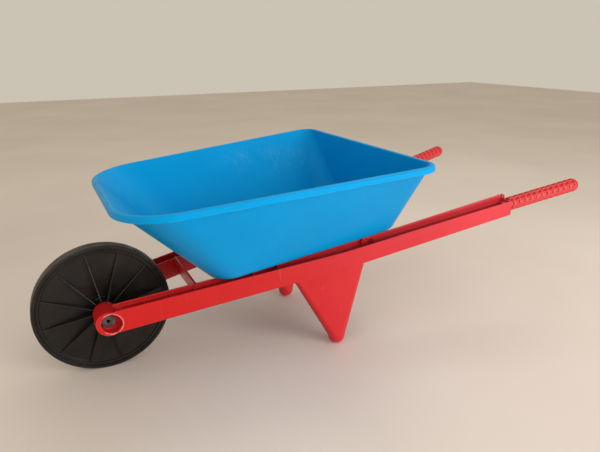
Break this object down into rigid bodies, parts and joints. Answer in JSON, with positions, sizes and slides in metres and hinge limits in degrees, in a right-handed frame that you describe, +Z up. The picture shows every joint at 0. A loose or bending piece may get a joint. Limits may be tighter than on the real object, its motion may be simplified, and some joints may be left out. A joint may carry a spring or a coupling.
{
  "type": "toy wheelbarrow",
  "caption": "Child's plastic wheelbarrow: a tapered tray with a turned-down lip on two channel-section arms with legs, round grips and a finned wheel that turns freely.",
  "frame": {"origin": "on the ground, below the middle of the whole length and width", "axes": "+X from the wheel to the grips, +Y to the right of someone holding the grips, +Z up"},
  "size_m": [0.754, 0.3564, 0.2656],
  "materials": {
    "tray": "semi-gloss blue, lightly scuffed inside",
    "arms": "semi-gloss red",
    "grips": "semi-gloss red, dimpled",
    "crossbars": "semi-gloss red",
    "wheel": "satin black",
    "axle": "dull black",
    "screws": "zinc plated"
  },
  "bodies": {
    "frame": {"tray": "tray", "left_arm": "arms", "right_arm": "arms", "left_grip": "grips", "right_grip": "grips", "front_crossbar": "crossbars", "middle_crossbar": "crossbars", "back_crossbar": "crossbars", "axle": "axle", "axle_cap": "axle", "tray_screws": "screws"},
    "wheel": {"wheel_left_half": "wheel", "wheel_right_half": "wheel"}
  },
  "joints": [
    {"name": "wheel_spin", "type": "hinge", "parent": "frame", "child": "wheel", "pos_m": [-0.292, 0, 0.085], "axis": [0, 1, 0], "continuous": true}
  ]
}
